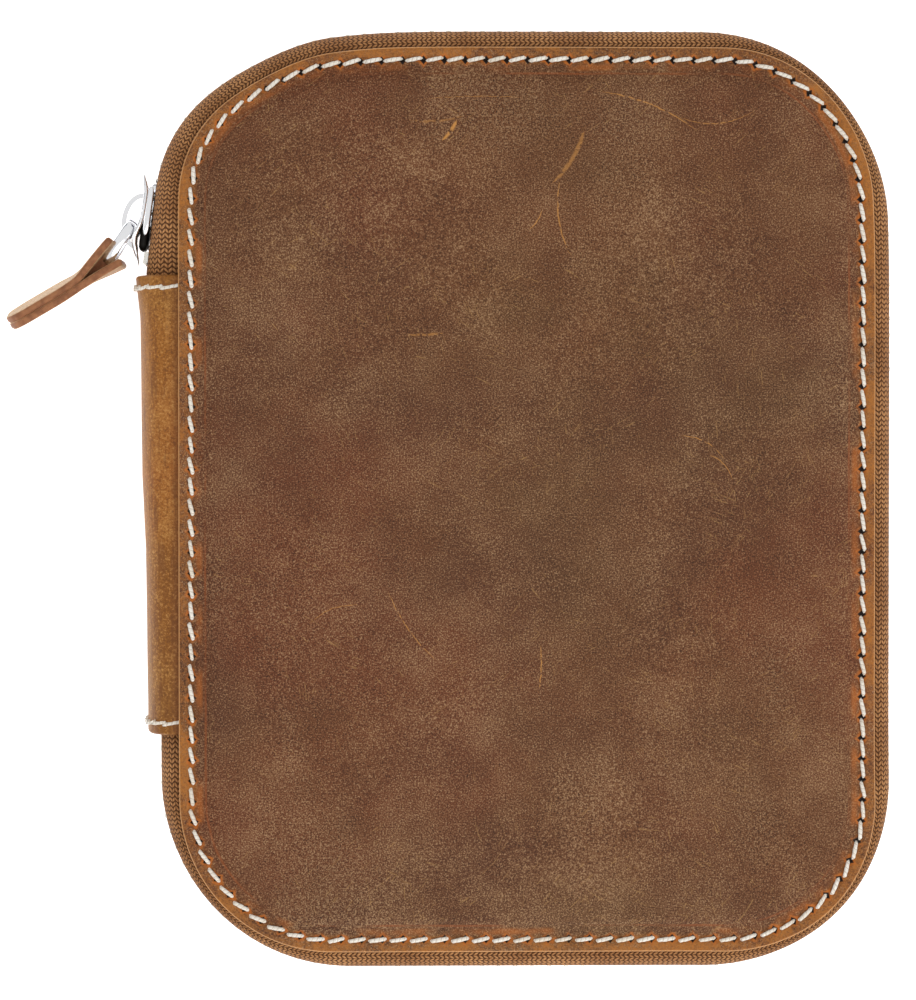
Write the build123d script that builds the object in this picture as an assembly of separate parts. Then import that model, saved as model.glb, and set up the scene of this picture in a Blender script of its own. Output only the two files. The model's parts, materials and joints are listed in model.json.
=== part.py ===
from build123d import *
import math
import os

os.makedirs("parts", exist_ok=True)

# A book-shaped leather case that zips round three sides, lying closed on its back cover.
# Millimetres. The origin is the centre of the back cover's outer face. +Z goes up through
# the case, +Y along its height, and the spine is on the -X side.

# Covers
panel_width = 114.0         # leather edge to leather edge, along X
panel_height = 148.0        # along Y
corner_radius = 25.0
case_thickness = 24.0       # closed, along Z
leather = 1.6
crown = 0.8                 # the padded centre stands this far out of the sewn rim
rim_width = 3.5             # flat sewn margin round each cover
board = 1.4
board_inset = 6.0
lining = 0.7
lining_inset = 1.5

# Zip
tape = 0.6
tape_flange = 5.0           # part of the tape sewn under the leather
chain_offset = 3.1          # from the leather edge out to the middle of the chain
tape_edge = 2.4             # from the case's middle plane to the edge of either tape
tooth_pitch = 2.8
tooth_thick = 1.0           # along the chain
tooth_depth = 1.7           # through the tape
tooth_reach = 0.5           # past the middle plane
slant = 6.0                 # degrees, how the chain runs outwards to the spine's top end
slant_offset = 5.4          # chain from the leather edge at the spine's top end
slant_radius = 31.5         # chain's bend at the corner next to the slider
fold_top = 57.2             # above this Y the chain belongs to the covers
fold_bottom = -39.2         # and below this one

# Spine strip
spine_top = 36.9
spine_bottom = -38.5
spine_bulge = [(-38.5, 5.5), (-8.0, 5.8), (4.0, 6.4), (30.0, 6.6), (36.9, 7.5)]
hinge_clearance = 0.3

# Thread
stitch_pitch = 3.4
stitch_length = 2.45
stitch_width = 0.7
stitch_height = 0.35
stitch_line = 2.05          # from the leather edge to the seam
stitch_slant = 12.0         # degrees

# Slider and pull
slider_length = 15.0
slider_width = 8.8
slider_end_width = 7.6
slider_plate = 0.9
slider_gap = 2.7            # between the two plates
slider_lip = 0.9
slider_slot = 1.6           # left for the tape between the lips
slider_y = 46.0
slider_tilt = 8.0           # degrees, the mean direction of the chain over its travel
slider_nudge = 0.1
bridge_length = 9.4
bridge_height = 3.1
bridge_bar = 0.8
bridge_width = 3.0
link_bar = 1.5
link_length = 8.0
link_width = 6.4
link_angle = 236.0          # degrees from +X
strap_width = 11.0
strap_layer = 1.3

# Derived places
half_width = panel_width / 2
half_height = panel_height / 2
middle = case_thickness / 2
rim_inner = crown + leather
flange_inner = rim_inner + tape
lining_inner = flange_inner + lining
hinge_z = rim_inner + tape / 2


def save(node, shape):
    shape.label = node
    export_step(shape, "parts/" + node + ".step")


def group(pieces):
    return Compound(children=list(pieces))


def to_front(shape):
    return mirror(shape, about=Plane.XY.offset(middle))


def slab(inset, z_low, z_high):
    outline = RectangleRounded(
        panel_width - 2 * inset, panel_height - 2 * inset, corner_radius - inset
    )
    return Pos(0, 0, z_low) * extrude(outline, z_high - z_low)


def block(low, high):
    size = [b - a for a, b in zip(low, high)]
    return Pos(*low) * Box(*size, align=(Align.MIN, Align.MIN, Align.MIN))


def bar_on(path, distance, along, across, tall, z_mid, turn=0.0):
    """A small block centred on a flat path, its length along the path."""
    spot = path.position_at(distance, position_mode=PositionMode.LENGTH)
    heading = path.tangent_at(distance, position_mode=PositionMode.LENGTH)
    place = Plane(origin=(spot.X, spot.Y, z_mid), x_dir=heading, z_dir=(0, 0, 1))
    return place * Rot(0, 0, turn) * Box(along, across, tall)


# ---- covers ----

def cover_leather():
    rim = slab(0, crown, rim_inner)
    centre = slab(rim_width, 0, crown)
    board_pocket = slab(rim_width, leather, rim_inner)
    return rim + centre - board_pocket


def cover_board():
    return slab(board_inset, leather, flange_inner)


def cover_lining():
    return slab(lining_inset, flange_inner, lining_inner)


def seam_path(inset):
    outline = RectangleRounded(
        panel_width - 2 * inset, panel_height - 2 * inset, corner_radius - inset
    )
    return outline.face().outer_wire()


def cover_seam():
    path = seam_path(stitch_line)
    count = round(path.length / stitch_pitch)
    step = path.length / count
    z_mid = crown - stitch_height / 2
    return [
        bar_on(path, (k + 0.5) * step, stitch_length, stitch_width, stitch_height, z_mid, stitch_slant)
        for k in range(count)
    ]


# ---- zip chain ----

def chain_path():
    """The chain, from the spine's top end clockwise to the spine's bottom end."""
    start = (-half_width - slant_offset, spine_top + 0.4)
    side = half_width + chain_offset
    end = half_height + chain_offset
    near_corner = start[0] + (end - start[1]) * math.tan(math.radians(slant))
    bend = corner_radius + chain_offset
    return FilletPolyline(
        start,
        (near_corner, end),
        (side, end),
        (side, -end),
        (-side, -end),
        (-side, fold_bottom + 1.0),
        radius=[slant_radius, bend, bend, bend],
    )


def tape_section(path, foot_z, flange):
    """The tape's cross-section at the start of the path: flange, quarter round, upright wall."""
    half = tape / 2
    bend = chain_offset
    centre_z = foot_z + bend
    top = middle - tape_edge
    edges = [
        Line((half, top), (half, centre_z)),
        CenterArc((-bend, centre_z), bend + half, 0, -90),
        Line((-bend, foot_z - half), (-bend - flange, foot_z - half)),
        Line((-bend - flange, foot_z - half), (-bend - flange, foot_z + half)),
        Line((-bend - flange, foot_z + half), (-bend, foot_z + half)),
        CenterArc((-bend, centre_z), bend - half, -90, 90),
        Line((-half, centre_z), (-half, top)),
        Line((-half, top), (half, top)),
    ]
    heading = path % 0
    outward = Vector(-heading.Y, heading.X, 0)
    start = path @ 0
    return Plane(origin=(start.X, start.Y, 0), x_dir=outward, z_dir=heading) * make_face(edges)


def cover_tape(path):
    whole = sweep(tape_section(path, hinge_z, tape_flange), path=path)
    beside_spine = block((-half_width - 12, fold_bottom, 0), (-half_width, fold_top, middle))
    under_hem = block((-half_width - 1, spine_bottom, 0), (-half_width + 9, spine_top, middle))
    return whole - beside_spine - under_hem


def end_tape(path):
    foot = hinge_z + tape / 2 + hinge_clearance + tape / 2
    whole = sweep(tape_section(path, foot, 0.4), path=path)
    zone = block(
        (-half_width - 12, spine_top + 0.5, 0), (-half_width + 8, fold_top - hinge_clearance, middle)
    )
    return whole & zone


def teeth(path, offset, wanted):
    """Teeth at the chain's pitch, as (distance, y) tells whether a tooth is wanted."""
    z_low = middle - tape_edge
    z_high = middle + tooth_reach
    count = int(path.length / tooth_pitch)
    found = []
    for k in range(count):
        distance = (k + offset) * tooth_pitch
        spot = path.position_at(distance, position_mode=PositionMode.LENGTH)
        if wanted(spot):
            found.append(
                bar_on(path, distance, tooth_thick, tooth_depth, z_high - z_low, (z_low + z_high) / 2)
            )
    return found


def on_cover(spot):
    return spot.X > -half_width + 12 or spot.Y > fold_top + 1.0 or spot.Y < fold_bottom - 0.7


def on_spine_end(spot):
    return spot.X < 0 and slider_y - 1.5 < spot.Y < fold_top - 1.0


def end_stops():
    """Two crimped stops at the end of the chain, one on each tape, in the slider's mouth."""
    size = (2.0, tooth_depth, 0.8)
    offset = tape_edge - size[2] / 2
    place = slider_frame() * Pos(-slider_length / 2 + 1.3, 0, 0)
    return [place * Pos(0, 0, side * offset) * Box(*size) for side in (-1, 1)]


# ---- spine strip ----

def bulge_at(y):
    for (y0, b0), (y1, b1) in zip(spine_bulge, spine_bulge[1:]):
        if y0 <= y <= y1:
            return b0 + (b1 - b0) * (y - y0) / (y1 - y0)
    raise ValueError("y is off the spine")


def spine_plane(y):
    return Plane(origin=(-half_width, y, middle), x_dir=(-1, 0, 0), z_dir=(0, 1, 0))


def spine_section(y, depth_in, depth_out):
    """A crescent between two half ellipses, at two depths under the strip's outer face."""
    height = middle - hinge_z - tape / 2 - hinge_clearance
    bulge = bulge_at(y)
    outer_height = height - depth_in
    inner_height = height - depth_out
    outer = EllipticalCenterArc((0, 0), bulge - depth_in, outer_height, start_angle=-90, arc_size=180)
    inner = EllipticalCenterArc((0, 0), bulge - depth_out, inner_height, start_angle=-90, arc_size=180)
    ends = [
        Line((0, outer_height), (0, inner_height)),
        Line((0, -outer_height), (0, -inner_height)),
    ]
    return spine_plane(y) * make_face([outer, inner] + ends)


def spine_shell(depth_in, depth_out):
    return loft([spine_section(y, depth_in, depth_out) for y, bulge in spine_bulge], ruled=True)


def spine_hem():
    return block(
        (-half_width, spine_bottom, rim_inner), (-half_width + tape_flange, spine_top, flange_inner)
    )


def spine_row(y, count=7):
    """A row of stitches across the strip, following its curved outer face."""
    height = middle - hinge_z - tape / 2 - hinge_clearance
    curve = spine_plane(y) * EllipticalCenterArc((0, 0), bulge_at(y), height, start_angle=-62, arc_size=124)
    step = curve.length / count
    row = []
    for k in range(count):
        spot = curve.position_at((k + 0.5) * step, position_mode=PositionMode.LENGTH)
        heading = curve.tangent_at((k + 0.5) * step, position_mode=PositionMode.LENGTH)
        outward = heading.cross(Vector(0, 1, 0))
        if outward.X > 0:
            outward = outward * -1
        place = Plane(origin=spot + outward * 0.1, x_dir=heading, z_dir=outward)
        row.append(place * Rot(0, 0, stitch_slant) * Box(stitch_length, stitch_width, stitch_height))
    return row


# ---- slider and pull ----

def slider_centre():
    rise = slider_y - (spine_top + 0.4)
    chain_x = -half_width - slant_offset + rise * math.tan(math.radians(slant))
    return (chain_x + slider_nudge, slider_y, middle)


def slider_frame():
    """X along the chain towards its closed side, Y outwards, Z up through the case."""
    turn = math.radians(slider_tilt)
    return Plane(origin=slider_centre(), x_dir=(math.sin(turn), math.cos(turn), 0), z_dir=(0, 0, 1))


def slider_outline(inset, longer):
    half = slider_length / 2 + longer
    wide = slider_width / 2 - inset
    narrow = slider_end_width / 2 - inset
    corners = [(-half, -wide), (-half, wide), (half, narrow), (half, -narrow)]
    return make_face(Polyline(*corners, close=True))


def slider_body():
    flat = Rot(90, 0, 0)    # lays a plate's outline into the frame's XZ plane
    inner_face = slider_gap / 2
    outline = slider_outline(0, 0)
    lips = outline - slider_outline(slider_lip, 1.0)
    body = None
    for side in (-1, 1):
        plate = Pos(0, side * (inner_face + slider_plate / 2), 0) * (
            flat * extrude(outline, slider_plate / 2, both=True)
        )
        plate = fillet(plate.edges().filter_by(Axis.Y), 1.4)
        lip_height = inner_face - slider_slot / 2
        lip = Pos(0, side * (inner_face - lip_height / 2), 0) * (
            flat * extrude(lips, lip_height / 2, both=True)
        )
        body = plate + lip if body is None else body + plate + lip
    mouth = -slider_length / 2
    wedge = make_face(Polyline((mouth + 0.3, -1.2), (mouth + 0.3, 1.2), (mouth + 3.4, 0.0), close=True))
    return slider_frame() * (body + flat * extrude(wedge, inner_face, both=True))


def slider_bridge():
    """The arch that the pull hangs on, standing on the slider's outer plate."""
    half = bridge_length / 2
    outer = EllipticalCenterArc((0, 0), half, bridge_height, start_angle=0, arc_size=180)
    inner = EllipticalCenterArc(
        (0, 0), half - bridge_bar, bridge_height - bridge_bar, start_angle=0, arc_size=180
    )
    feet = [
        Line((half, 0), (half - bridge_bar, 0)),
        Line((-half, 0), (-half + bridge_bar, 0)),
    ]
    arch = extrude(make_face([outer, inner] + feet), bridge_width / 2, both=True)
    return slider_frame() * Pos(-0.4, slider_gap / 2 + slider_plate, 0) * arch


def pull_pivot():
    spot = slider_frame() * Pos(-1.0, slider_gap / 2 + slider_plate + 1.3, 0)
    return spot.position


def heading(degrees):
    turn = math.radians(degrees)
    return Vector(math.cos(turn), math.sin(turn), 0)


def pull_link():
    """A wire ring through the bridge, with a flat tail that the strap is closed on."""
    pivot = pull_pivot()
    along = heading(link_angle)
    centre = pivot + along * (link_length / 2)
    across = Vector(0, 0, 1).cross(along)
    lie = Plane(origin=centre, x_dir=along, z_dir=across)
    wire = (lie * RectangleRounded(link_length, link_width, 1.8)).face().outer_wire()
    start = wire @ 0
    ring = sweep(Plane(origin=start, z_dir=wire % 0) * Circle(link_bar / 2), path=wire)
    far_bar = pivot + along * link_length
    tail_heading = (strap_bend() - far_bar).normalized()
    tail_length = (strap_bend() - far_bar).length - 1.8
    tail_frame = Plane(origin=far_bar, x_dir=tail_heading, z_dir=(0, 0, 1))
    tail = tail_frame * Pos(tail_length / 2, 0, 0) * Box(tail_length, 0.7, link_width - 2.4)
    return ring + tail


def strap_bend():
    """Where the two layers of the strap meet, outboard of the ring."""
    return pull_pivot() + Vector(-9.0, -9.5, 0)


strap_angle = 210.6         # degrees from +X
strap_length = 12.6         # from the bend to the tip
upper_flap = Vector(-4.0, -2.4, 0)      # free end of each layer, from the pull's pivot
lower_flap = Vector(-1.5, -7.7, 0)


def strap_layer_solid(side, flap):
    along = heading(strap_angle)
    lift = Vector(along.Y, -along.X, 0) * (side * strap_layer / 2)
    bend = strap_bend() + lift
    tip = bend + along * strap_length
    path = FilletPolyline(pull_pivot() + flap, bend, tip, radius=5.0)
    start = path @ 0
    section = Plane(origin=start, z_dir=path % 0, x_dir=(0, 0, 1)) * Rectangle(strap_width, strap_layer)
    return sweep(section, path=path)


# ---- fittings inside ----

pocket_width = 98.0
pocket_top = 16.0
pocket_leather = 1.2
band_y = 22.0
band_width = 25.0
band_length = 98.0
band_thick = 1.0


def slip_pocket():
    sheet = slab((panel_width - pocket_width) / 2, lining_inner, lining_inner + pocket_leather)
    return sheet & block((-60, -90, 0), (60, pocket_top, middle))


def pocket_seam():
    """Stitches down both sides and along the bottom of the pocket."""
    path = seam_path((panel_width - pocket_width) / 2 + 2.0)
    count = round(path.length / stitch_pitch)
    step = path.length / count
    z_mid = lining_inner + pocket_leather + stitch_height / 2
    found = []
    for k in range(count):
        distance = (k + 0.5) * step
        if path.position_at(distance, position_mode=PositionMode.LENGTH).Y < pocket_top - 1.5:
            found.append(bar_on(path, distance, stitch_length, stitch_width * 0.8, stitch_height, z_mid))
    return found


def elastic_band():
    z_high = case_thickness - lining_inner
    return block(
        (-band_length / 2, band_y - band_width / 2, z_high - band_thick),
        (band_length / 2, band_y + band_width / 2, z_high),
    )


def band_tacks():
    """Bar tacks that hold the band's ends and divide it into three loops."""
    z_high = case_thickness - lining_inner - band_thick
    places = [-band_length / 2 + 2, -band_length / 6, band_length / 6, band_length / 2 - 2]
    length = band_width - 3
    return [Pos(x, band_y, z_high - 0.2) * Box(1.2, length, 0.4) for x in places]


# ---- write every node ----

path = chain_path()
tape_solid = cover_tape(path)
tape_end = end_tape(path)
end_teeth_back = teeth(path, 0.5, on_spine_end)
end_teeth_front = [to_front(tooth) for tooth in teeth(path, 1.0, on_spine_end)]

save("back_cover_leather", cover_leather())
save("back_stiffener", cover_board())
save("back_lining", cover_lining())
save("back_zip_tape", tape_solid)
save("back_zip_teeth", group(teeth(path, 0.5, on_cover)))
save("back_seam_thread", group(cover_seam()))
save("back_spine_hem", spine_hem())
save("back_slip_pocket", slip_pocket())
save("back_pocket_thread", group(pocket_seam()))

save("front_cover_leather", to_front(cover_leather()))
save("front_stiffener", to_front(cover_board()))
save("front_lining", to_front(cover_lining()))
save("front_zip_tape", to_front(tape_solid))
save("front_zip_teeth", group(to_front(tooth) for tooth in teeth(path, 1.0, on_cover)))
save("front_seam_thread", group(to_front(stitch) for stitch in cover_seam()))
save("front_spine_hem", to_front(spine_hem()))
save("front_elastic_band", elastic_band())
save("front_band_tacks", group(band_tacks()))

save("spine_leather", spine_shell(0, leather))
save("spine_lining", spine_shell(leather, leather + 0.5))
save("spine_top_thread", group(spine_row(spine_top - 2.0)))
save("spine_bottom_thread", group(spine_row(spine_bottom + 2.0)))
save("zip_end_tape", group([tape_end, to_front(tape_end)]))
save("zip_end_teeth", group(end_teeth_back + end_teeth_front))
save("zip_end_stops", group(end_stops()))

save("slider_body", slider_body())
save("slider_bridge", slider_bridge())
save("pull_link", pull_link())
save("pull_strap_upper", strap_layer_solid(1, upper_flap))
save("pull_strap_lower", strap_layer_solid(-1, lower_flap))

pivot = pull_pivot()
print("slider centre", slider_centre())
print("pull pivot", pivot.X, pivot.Y, pivot.Z)
print("chain length", path.length)
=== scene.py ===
import bpy
import bmesh
import json
import math
from mathutils import Matrix, Vector, noise


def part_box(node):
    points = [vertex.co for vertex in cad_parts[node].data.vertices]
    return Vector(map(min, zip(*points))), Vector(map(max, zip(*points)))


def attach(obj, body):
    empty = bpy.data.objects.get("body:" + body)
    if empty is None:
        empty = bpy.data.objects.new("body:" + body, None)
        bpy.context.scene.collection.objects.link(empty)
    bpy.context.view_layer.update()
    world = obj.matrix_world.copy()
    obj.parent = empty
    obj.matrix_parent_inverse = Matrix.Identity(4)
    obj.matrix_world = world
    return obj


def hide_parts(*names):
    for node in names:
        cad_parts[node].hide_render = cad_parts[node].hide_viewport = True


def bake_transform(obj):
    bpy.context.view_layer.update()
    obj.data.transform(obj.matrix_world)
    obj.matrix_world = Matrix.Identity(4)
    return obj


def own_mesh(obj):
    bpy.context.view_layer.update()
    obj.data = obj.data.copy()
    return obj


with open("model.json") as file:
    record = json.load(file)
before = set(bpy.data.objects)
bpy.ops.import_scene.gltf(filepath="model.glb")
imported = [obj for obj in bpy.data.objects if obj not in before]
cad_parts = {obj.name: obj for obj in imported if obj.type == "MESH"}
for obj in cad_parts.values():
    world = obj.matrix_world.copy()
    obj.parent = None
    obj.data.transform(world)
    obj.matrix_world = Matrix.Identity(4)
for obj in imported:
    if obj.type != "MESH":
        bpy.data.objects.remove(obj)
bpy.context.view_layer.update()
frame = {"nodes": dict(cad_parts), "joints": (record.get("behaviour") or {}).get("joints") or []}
mm = 0.001
print("frame loaded")

# the covers, the zip and the hinges give every other place
coverLow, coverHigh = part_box("front_cover_leather")
halfW, halfH, topZ = coverHigh.x, coverHigh.y, coverHigh.z
midZ = (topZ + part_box("back_cover_leather")[0].z) / 2
jointAt = {j["name"]: Vector(j.get("pos_m", (0, 0, 0))) for j in frame["joints"]}
cornerR = 25 * mm


def newObject(name, verts, faces, uvs=None, uvName="wear", smooth=True):
    mesh = bpy.data.meshes.new(name)
    mesh.from_pydata([tuple(v) for v in verts], [], faces)
    if uvs:
        layer = mesh.uv_layers.new(name=uvName)
        flat = [pair for face in uvs for pair in face]
        for loop, pair in zip(layer.data, flat):
            loop.uv = pair
    mesh.polygons.foreach_set("use_smooth", [smooth] * len(mesh.polygons))
    obj = bpy.data.objects.new(name, mesh)
    bpy.context.scene.collection.objects.link(obj)
    return obj


def mergeAndTurnOut(obj, gap=1e-6):
    bm = bmesh.new()
    bm.from_mesh(obj.data)
    bmesh.ops.remove_doubles(bm, verts=bm.verts, dist=gap)
    bmesh.ops.dissolve_degenerate(bm, edges=bm.edges, dist=gap)
    bmesh.ops.recalc_face_normals(bm, faces=bm.faces)
    bm.to_mesh(obj.data)
    bm.free()
    return obj


def applyModifiers(obj):
    graph = bpy.context.evaluated_depsgraph_get()
    mesh = bpy.data.meshes.new_from_object(obj.evaluated_get(graph))
    old = obj.data
    obj.modifiers.clear()
    obj.data = mesh
    mesh.name = obj.name
    if isinstance(old, bpy.types.Mesh):
        bpy.data.meshes.remove(old)
    return obj


def gridObject(name, rows, rowUs, colVs, closeCols=False, uvName="wear"):
    # rows of points, each row the same length; u runs over rows and v along a row
    count = len(rows[0])
    verts = [p for row in rows for p in row]
    faces, uvs = [], []
    last = count if closeCols else count - 1
    for i in range(len(rows) - 1):
        for j in range(last):
            k = (j + 1) % count
            faces.append((i * count + j, i * count + k, (i + 1) * count + k, (i + 1) * count + j))
            v0, v1 = colVs[j], colVs[j + 1]
            uvs.append([(rowUs[i], v0), (rowUs[i], v1), (rowUs[i + 1], v1), (rowUs[i + 1], v0)])
    return newObject(name, verts, faces, uvs, uvName)


def closeEnds(obj, faces, turnOut=True):
    # adds the faces given as vertex numbers; a negative number counts back from the last one
    bm = bmesh.new()
    bm.from_mesh(obj.data)
    bm.verts.ensure_lookup_table()
    for face in faces:
        bm.faces.new([bm.verts[k] for k in face])
    if turnOut:
        bmesh.ops.recalc_face_normals(bm, faces=bm.faces)
    bm.to_mesh(obj.data)
    bm.free()
    return obj


def endCaps(obj, count):
    # one many-sided face over the first ring and one over the last
    return closeEnds(obj, (range(count), range(len(obj.data.vertices) - count, len(obj.data.vertices))))


def endQuads(obj, count, pairs, turnOut=False):
    # quads across both ends of a flattened loop, whose two halves run opposite ways
    faces = []
    for base in (0, len(obj.data.vertices) - count):
        faces += [[base + n for n in (k, k + 1, count - 2 - k, count - 1 - k)] for k in range(pairs)]
    return mergeAndTurnOut(closeEnds(obj, faces, turnOut), 1e-7 if turnOut else 1e-6)


def joinInto(main, others):
    bm = bmesh.new()
    bm.from_mesh(main.data)
    for other in others:
        bm.from_mesh(other.data)
    bm.to_mesh(main.data)
    bm.free()
    for other in others:
        bpy.data.objects.remove(other)
    return main


def finishPiece(obj, body, material, nodes):
    if material and not obj.data.materials:
        obj.data.materials.append(material)
    if body:
        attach(obj, body)
    if nodes:
        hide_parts(*nodes)
    return obj


def roundedOutline(inset=0.0):
    # clockwise from the top left; returns total length and a function of distance
    r = cornerR - inset
    a, b = halfW - cornerR, halfH - cornerR
    straightX, straightY, arc = 2 * a, 2 * b, math.pi / 2 * r
    spans = []
    for cx, cy, angle, straight in ((a, b, 90, straightX), (a, -b, 0, straightY),
                                    (-a, -b, -90, straightX), (-a, b, -180, straightY)):
        spans.append((straight, cx, cy, math.radians(angle)))
    total = 2 * (straightX + straightY) + 4 * arc

    def at(distance):
        s = distance % total
        for straight, cx, cy, angle in spans:
            out = Vector((math.cos(angle), math.sin(angle), 0))
            ahead = Vector((math.sin(angle), -math.cos(angle), 0))
            if s <= straight:
                return Vector((cx, cy, 0)) + out * r - ahead * (straight - s), out
            s -= straight
            if s <= arc:
                turn = angle - s / r
                out = Vector((math.cos(turn), math.sin(turn), 0))
                return Vector((cx, cy, 0)) + out * r, out
            s -= arc
        return Vector((-a, b, 0)) + Vector((0, r, 0)), Vector((0, 1, 0))

    return total, at


# how each corner is worn in: place of the corner, most inward, its angle and its spread
cornerWear = {(-1, 1): (2.3, 62, 32), (1, 1): (0.75, 30, 35),
              (1, -1): (-0.6, 40, 35), (-1, -1): (0.15, 30, 40)}


def settle(p):
    # moves a point near a corner inward, the same for leather, thread, tape and teeth
    sx, sy = (1 if p.x > 0 else -1), (1 if p.y > 0 else -1)
    most, middle, spread = cornerWear[(sx, sy)]
    dx, dy = abs(p.x) - (halfW - cornerR), abs(p.y) - (halfH - cornerR)
    r = math.hypot(dx, dy)
    if r < 1e-6:
        return p
    angle = math.degrees(math.atan2(dy, dx))
    move = most * mm * math.exp(-((angle - middle) / spread) ** 2) * min(1.0, (r / cornerR) ** 2)
    return Vector((p.x - sx * dx / r * move, p.y - sy * dy / r * move, p.z))


def nearestOnEdge(p):
    # nearest point of the cover's outline to p, seen from above
    a, b = halfW - cornerR, halfH - cornerR
    core = Vector((max(-a, min(a, p.x)), max(-b, min(b, p.y)), 0))
    away = Vector((p.x, p.y, 0)) - core
    return core + away.normalized() * cornerR


def heading(degrees):
    return Vector((math.cos(math.radians(degrees)), math.sin(math.radians(degrees)), 0))


def lobe(angle, power):
    # a circle's two parts pushed towards a square
    c, d = math.cos(angle), math.sin(angle)
    return math.copysign(abs(c) ** power, c), math.copysign(abs(d) ** power, d)


def filletPath(points, radii, step):
    # straight runs joined by tangent arcs, sampled at about one step
    out = [Vector(points[0])]
    for i in range(1, len(points) - 1):
        p, before, after = Vector(points[i]), Vector(points[i - 1]), Vector(points[i + 1])
        d0, d1 = (p - before).normalized(), (after - p).normalized()
        turn = d0.angle(d1)
        cut = radii[i - 1] * math.tan(turn / 2)
        start = p - d0 * cut
        side = (d1 - d0 * d0.dot(d1)).normalized()
        centre = start + side * radii[i - 1]
        count = max(2, int(radii[i - 1] * turn / step))
        for k in range(count + 1):
            angle = turn * k / count
            out.append(centre + (d0 * math.sin(angle) - side * math.cos(angle)) * radii[i - 1])
    out.append(Vector(points[-1]))
    dense = [out[0]]
    for a, b in zip(out, out[1:]):
        pieces = max(1, int((b - a).length / step))
        dense += [a.lerp(b, (k + 1) / pieces) for k in range(pieces)]
    return dense, lineLengths(dense)


def lineLengths(points):
    # distance along the line at each point
    lengths = [0.0]
    for a, b in zip(points, points[1:]):
        lengths.append(lengths[-1] + (b - a).length)
    return lengths


def pathPoint(path, distance):
    dense, lengths = path
    low, high = 0, len(lengths) - 1
    while high - low > 1:
        middle = (low + high) // 2
        if lengths[middle] <= distance:
            low = middle
        else:
            high = middle
    share = (distance - lengths[low]) / max(1e-12, lengths[high] - lengths[low])
    a, b = dense[low], dense[high]
    return a.lerp(b, share), (b - a).normalized()


def linear(r, g, b):
    # 0 to 255 screen colour to a shader colour
    parts = []
    for value in (r, g, b):
        v = value / 255
        parts.append(v / 12.92 if v <= 0.04045 else ((v + 0.055) / 1.055) ** 2.4)
    return (*parts, 1.0)


class Sketch:
    # short calls for building a node tree; an argument is a socket or a plain value
    def __init__(self, tree):
        self.tree = tree

    def set(self, socket, value):
        if isinstance(value, bpy.types.NodeSocket):
            self.tree.links.new(value, socket)
        else:
            socket.default_value = value

    def node(self, kind, inputs=None, **settings):
        made = self.tree.nodes.new(kind)
        for key, value in settings.items():
            setattr(made, key, value)
        for key, value in (inputs or {}).items():
            self.set(made.inputs[key], value)
        return made

    def math(self, operation, a, b=0.0, clamp=False):
        return self.node("ShaderNodeMath", {0: a, 1: b}, operation=operation, use_clamp=clamp).outputs[0]

    def plus(self, a, b):
        return self.math("ADD", a, b)

    def minus(self, a, b):
        return self.math("SUBTRACT", a, b)

    def times(self, *values):
        product = values[0]
        for value in values[1:]:
            product = self.math("MULTIPLY", product, value)
        return product

    def off(self, a, b=0.0):
        # how far a is from b, never negative
        return self.math("ABSOLUTE", self.minus(a, b) if b else a)

    def sine(self, value, turns):
        return self.math("SINE", self.times(value, 2 * math.pi * turns))

    def step(self, value, low, high):
        # smooth 0 to 1 as value goes from low to high
        made = self.node("ShaderNodeMapRange", {"Value": value, "From Min": low, "From Max": high},
                         interpolation_type="SMOOTHSTEP")
        return made.outputs[0]

    def mix(self, factor, a, b):
        made = self.node("ShaderNodeMix", data_type="RGBA")
        for place, value in zip((0, 6, 7), (factor, a, b)):
            self.set(made.inputs[place], value)
        return made.outputs[2]

    def noise(self, vector, scale, detail=4.0, rough=0.55, colour=False):
        made = self.node("ShaderNodeTexNoise", {"Vector": vector, "Scale": scale, "Detail": detail,
                                                "Roughness": rough})
        return made.outputs[1 if colour else 0]

    def shift(self, vector, scale, detail, rough, most):
        # moves a vector by a coloured noise, up to most on each axis
        bend = self.noise(vector, scale, detail, rough, colour=True)
        return self.vector("ADD", vector, self.vector("MULTIPLY", bend, most))

    def cells(self, vector, scale):
        return self.node("ShaderNodeTexVoronoi", {"Vector": vector, "Scale": scale}).outputs["Distance"]

    def vector(self, operation, a, b):
        return self.node("ShaderNodeVectorMath", {0: a, 1: b}, operation=operation).outputs[0]

    def along(self, a, b):
        return self.node("ShaderNodeVectorMath", {0: a, 1: b}, operation="DOT_PRODUCT").outputs[1]

    def place(self, vector, location=(0, 0, 0), turn=0.0, scale=(1, 1, 1)):
        made = self.node("ShaderNodeMapping", {"Vector": vector, "Location": location,
                                               "Rotation": (0, 0, turn), "Scale": scale})
        return made.outputs[0]

    def split(self, vector):
        return self.node("ShaderNodeSeparateXYZ", {0: vector}).outputs

    def group(self, tree, **inputs):
        made = self.node("ShaderNodeGroup", node_tree=tree)
        for key, value in inputs.items():
            self.set(made.inputs[key], value)
        return made.outputs


def newGroup(name, inputs, outputs):
    # an input whose starting value is None is a vector
    tree = bpy.data.node_groups.new(name, "ShaderNodeTree")
    for label, value in [("Vector", None)] + inputs:
        kind = "NodeSocketVector" if value is None else "NodeSocketFloat"
        socket = tree.interface.new_socket(label, in_out="INPUT", socket_type=kind)
        if value is not None:
            socket.default_value = value
    for label in outputs:
        tree.interface.new_socket(label, in_out="OUTPUT", socket_type="NodeSocketFloat")
    s = Sketch(tree)
    return tree, s, s.node("NodeGroupInput").outputs, s.node("NodeGroupOutput").inputs


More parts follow.
